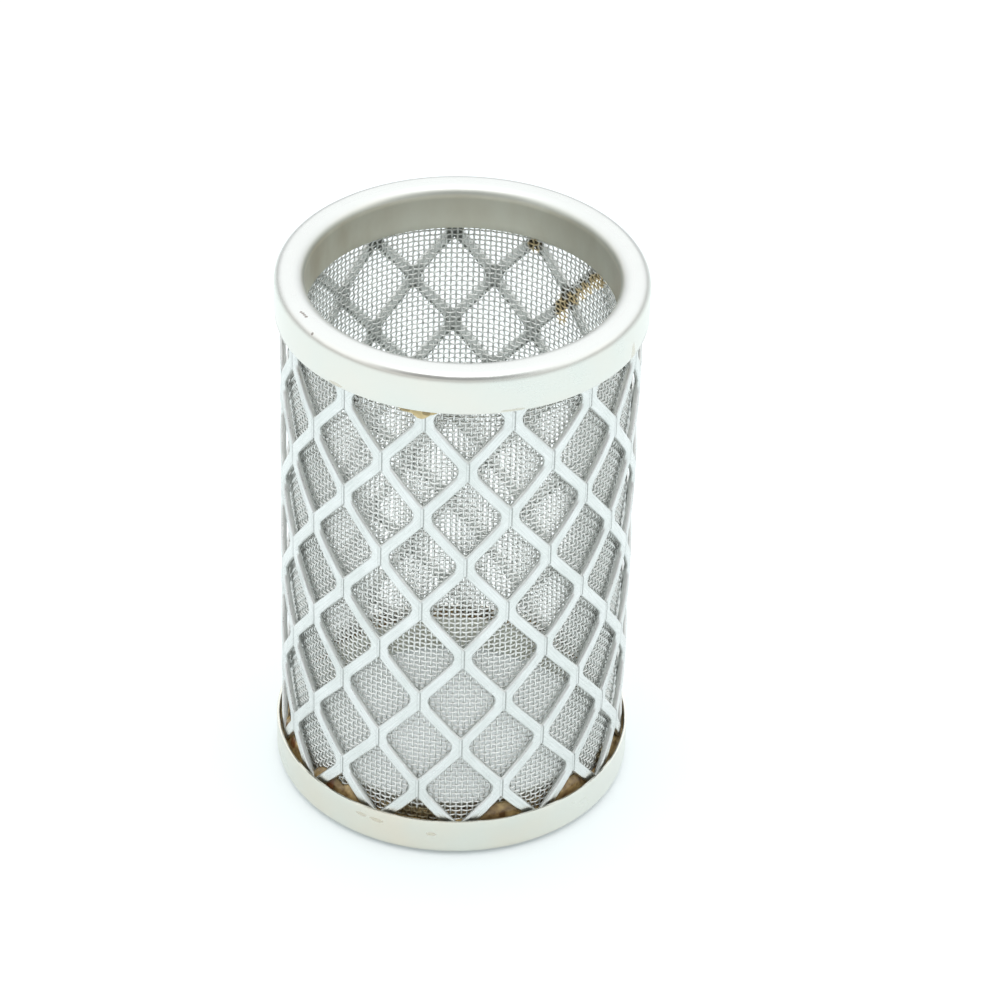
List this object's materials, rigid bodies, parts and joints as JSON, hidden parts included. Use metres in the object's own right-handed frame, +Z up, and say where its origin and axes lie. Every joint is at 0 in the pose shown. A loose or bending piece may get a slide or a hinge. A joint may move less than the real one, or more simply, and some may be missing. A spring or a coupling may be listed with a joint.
{
  "type": "hydraulic filter element",
  "caption": "Cylindrical hydraulic filter element: wire cloth sleeve inside an expanded metal sleeve, potted between pressed end rings, open through the middle.",
  "frame": {"origin": "centre of the bottom end ring's flat face, where the element stands", "axes": "+Z up along the element's axis towards the top end ring; -Y towards the camera of the picture"},
  "size_m": [0.056, 0.056, 0.09],
  "materials": {
    "ring_steel": "pressed stainless sheet, bright with a soft brushed sheen and a little adhesive smeared at the edges",
    "lattice_steel": "bright flattened expanded stainless sheet with grey sheared edges",
    "cloth_steel": "plain woven stainless wire cloth, satin wires",
    "adhesive": "cured amber adhesive, darker where it is thick"
  },
  "bodies": {
    "root": {"bottom_end_ring": "ring_steel", "top_end_ring": "ring_steel", "expanded_metal_sleeve": "lattice_steel", "wire_cloth_sleeve": "cloth_steel", "bottom_adhesive_bed": "adhesive", "top_adhesive_bed": "adhesive"}
  },
  "joints": []
}
